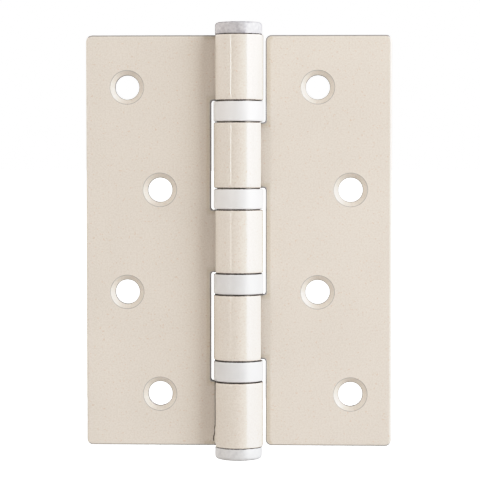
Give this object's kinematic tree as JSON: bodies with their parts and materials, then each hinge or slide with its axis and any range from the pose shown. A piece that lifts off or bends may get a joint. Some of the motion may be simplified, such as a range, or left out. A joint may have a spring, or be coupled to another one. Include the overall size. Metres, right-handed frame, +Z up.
{
  "type": "ball bearing butt hinge",
  "caption": "Flat butt hinge laid open: two rectangular curled leaves with staggered countersunk screw holes, joined by a pin with ball bearings between the knuckles.",
  "frame": {"origin": "middle of the pin's axis, half-way up the leaves", "axes": "+Z up along the pin, +X from the pin across the right leaf, +Y out of the leaves' plain backs"},
  "size_m": [0.0744, 0.0122, 0.106],
  "materials": {
    "lacquered_steel": "pale pearl lacquer on steel sheet, glossy",
    "plated_steel": "bright satin plating",
    "bearing_steel": "polished, oiled",
    "cage_nylon": "moulded"
  },
  "bodies": {
    "left_side": {"left_leaf": "lacquered_steel", "hinge_pin": "plated_steel", "bottom_plug": "plated_steel", "bearing_1_upper_race": "bearing_steel", "bearing_2_shell": "plated_steel", "bearing_2_lower_race": "bearing_steel", "bearing_3_upper_race": "bearing_steel", "bearing_4_shell": "plated_steel", "bearing_4_lower_race": "bearing_steel"},
    "right_side": {"right_leaf": "lacquered_steel", "bearing_1_shell": "plated_steel", "bearing_1_lower_race": "bearing_steel", "bearing_2_upper_race": "bearing_steel", "bearing_3_shell": "plated_steel", "bearing_3_lower_race": "bearing_steel", "bearing_4_upper_race": "bearing_steel"},
    "ball_set_1": {"bearing_1_cage": "cage_nylon", "bearing_1_balls": "bearing_steel"},
    "ball_set_2": {"bearing_2_cage": "cage_nylon", "bearing_2_balls": "bearing_steel"},
    "ball_set_3": {"bearing_3_cage": "cage_nylon", "bearing_3_balls": "bearing_steel"},
    "ball_set_4": {"bearing_4_cage": "cage_nylon", "bearing_4_balls": "bearing_steel"}
  },
  "joints": [
    {"name": "leaf_swing", "type": "hinge", "parent": "left_side", "child": "right_side", "pos_m": [0, 0, 0], "axis": [0, 0, -1], "range_deg": [-90, 180]},
    {"name": "ball_set_1_roll", "type": "hinge", "parent": "left_side", "child": "ball_set_1", "pos_m": [0, 0, 0], "axis": [0, 0, -1], "range_deg": [-45, 90]},
    {"name": "ball_set_2_roll", "type": "hinge", "parent": "left_side", "child": "ball_set_2", "pos_m": [0, 0, 0], "axis": [0, 0, -1], "range_deg": [-45, 90]},
    {"name": "ball_set_3_roll", "type": "hinge", "parent": "left_side", "child": "ball_set_3", "pos_m": [0, 0, 0], "axis": [0, 0, -1], "range_deg": [-45, 90]},
    {"name": "ball_set_4_roll", "type": "hinge", "parent": "left_side", "child": "ball_set_4", "pos_m": [0, 0, 0], "axis": [0, 0, -1], "range_deg": [-45, 90]}
  ],
  "couplings": [
    {"joint": "ball_set_1_roll", "follows": "leaf_swing", "ratio": 0.5},
    {"joint": "ball_set_2_roll", "follows": "leaf_swing", "ratio": 0.5},
    {"joint": "ball_set_3_roll", "follows": "leaf_swing", "ratio": 0.5},
    {"joint": "ball_set_4_roll", "follows": "leaf_swing", "ratio": 0.5}
  ]
}
